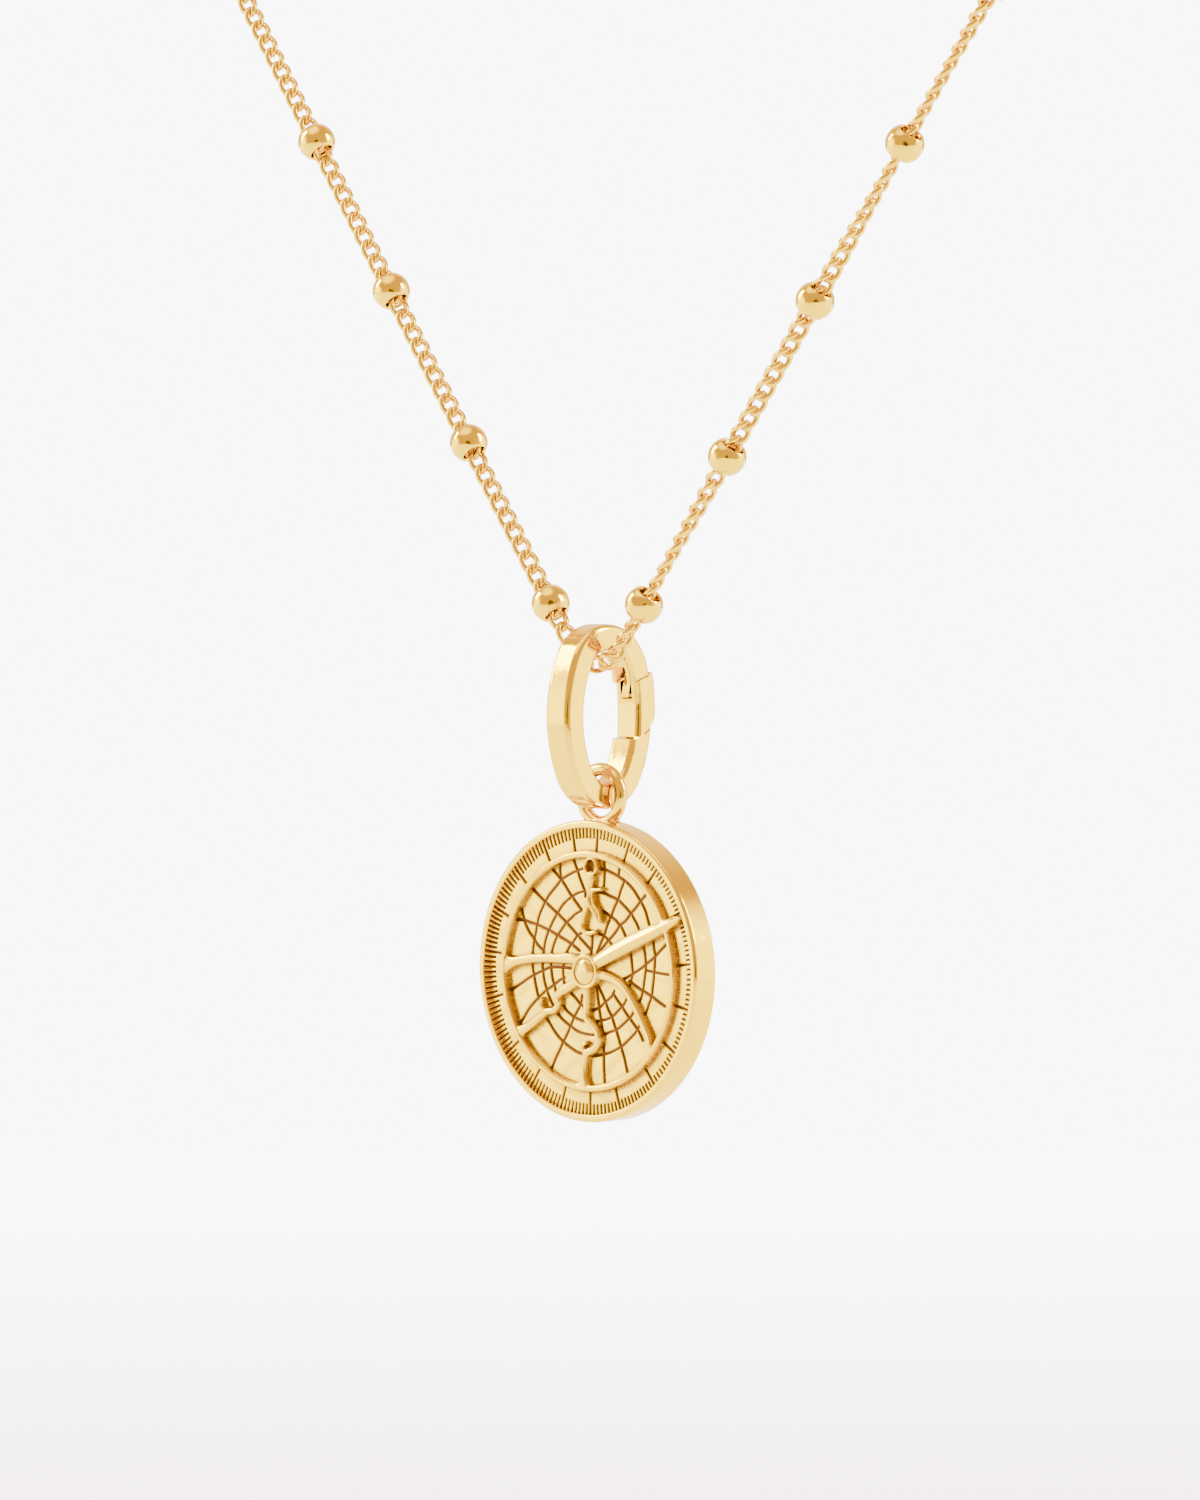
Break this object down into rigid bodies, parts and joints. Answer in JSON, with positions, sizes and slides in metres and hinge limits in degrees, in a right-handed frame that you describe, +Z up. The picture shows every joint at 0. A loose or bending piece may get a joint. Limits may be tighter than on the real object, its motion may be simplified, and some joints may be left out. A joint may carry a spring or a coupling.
{
  "type": "pendant necklace",
  "caption": "Round compass-dial pendant on a hinged oval link, hung from a curb chain set with small round beads and closed by a plain ring clasp.",
  "frame": {"origin": "middle of the clasp ring at the nape of the neck, from which the whole necklace hangs", "axes": "+Z up, the pendant's dial faces -Y, and +X is to the right as seen from the front"},
  "size_m": [0.1219, 0.1, 0.146],
  "materials": {
    "chain_gold": "polished gold-coloured plate on curb links",
    "bead_gold": "high polish, gold-coloured plate",
    "clasp_gold": "polished gold-coloured plate",
    "link_gold": "high polish with soft edges, gold-coloured plate",
    "pendant_gold": "cast and engraved dial, polished high points with darker recesses"
  },
  "bodies": {
    "necklace": {"chain": "chain_gold", "beads": "bead_gold", "clasp": "clasp_gold", "clasp_ring": "clasp_gold"},
    "link": {"link_body": "link_gold", "hinge_pin": "link_gold"},
    "gate": {"link_gate": "link_gold"},
    "pendant": {"pendant": "pendant_gold"}
  },
  "joints": [
    {"name": "link_swing", "type": "hinge", "parent": "necklace", "child": "link", "pos_m": [0, -0.095, -0.119], "axis": [1, 0, 0], "range_deg": [-60, 60]},
    {"name": "gate_hinge", "type": "hinge", "parent": "link", "child": "gate", "pos_m": [0, -0.09173, -0.12165], "axis": [-1, 0, 0], "range_deg": [0, 60]},
    {"name": "pendant_swing", "type": "hinge", "parent": "link", "child": "pendant", "pos_m": [0, -0.0946, -0.12599], "axis": [0, 1, 0], "range_deg": [-60, 60]}
  ]
}
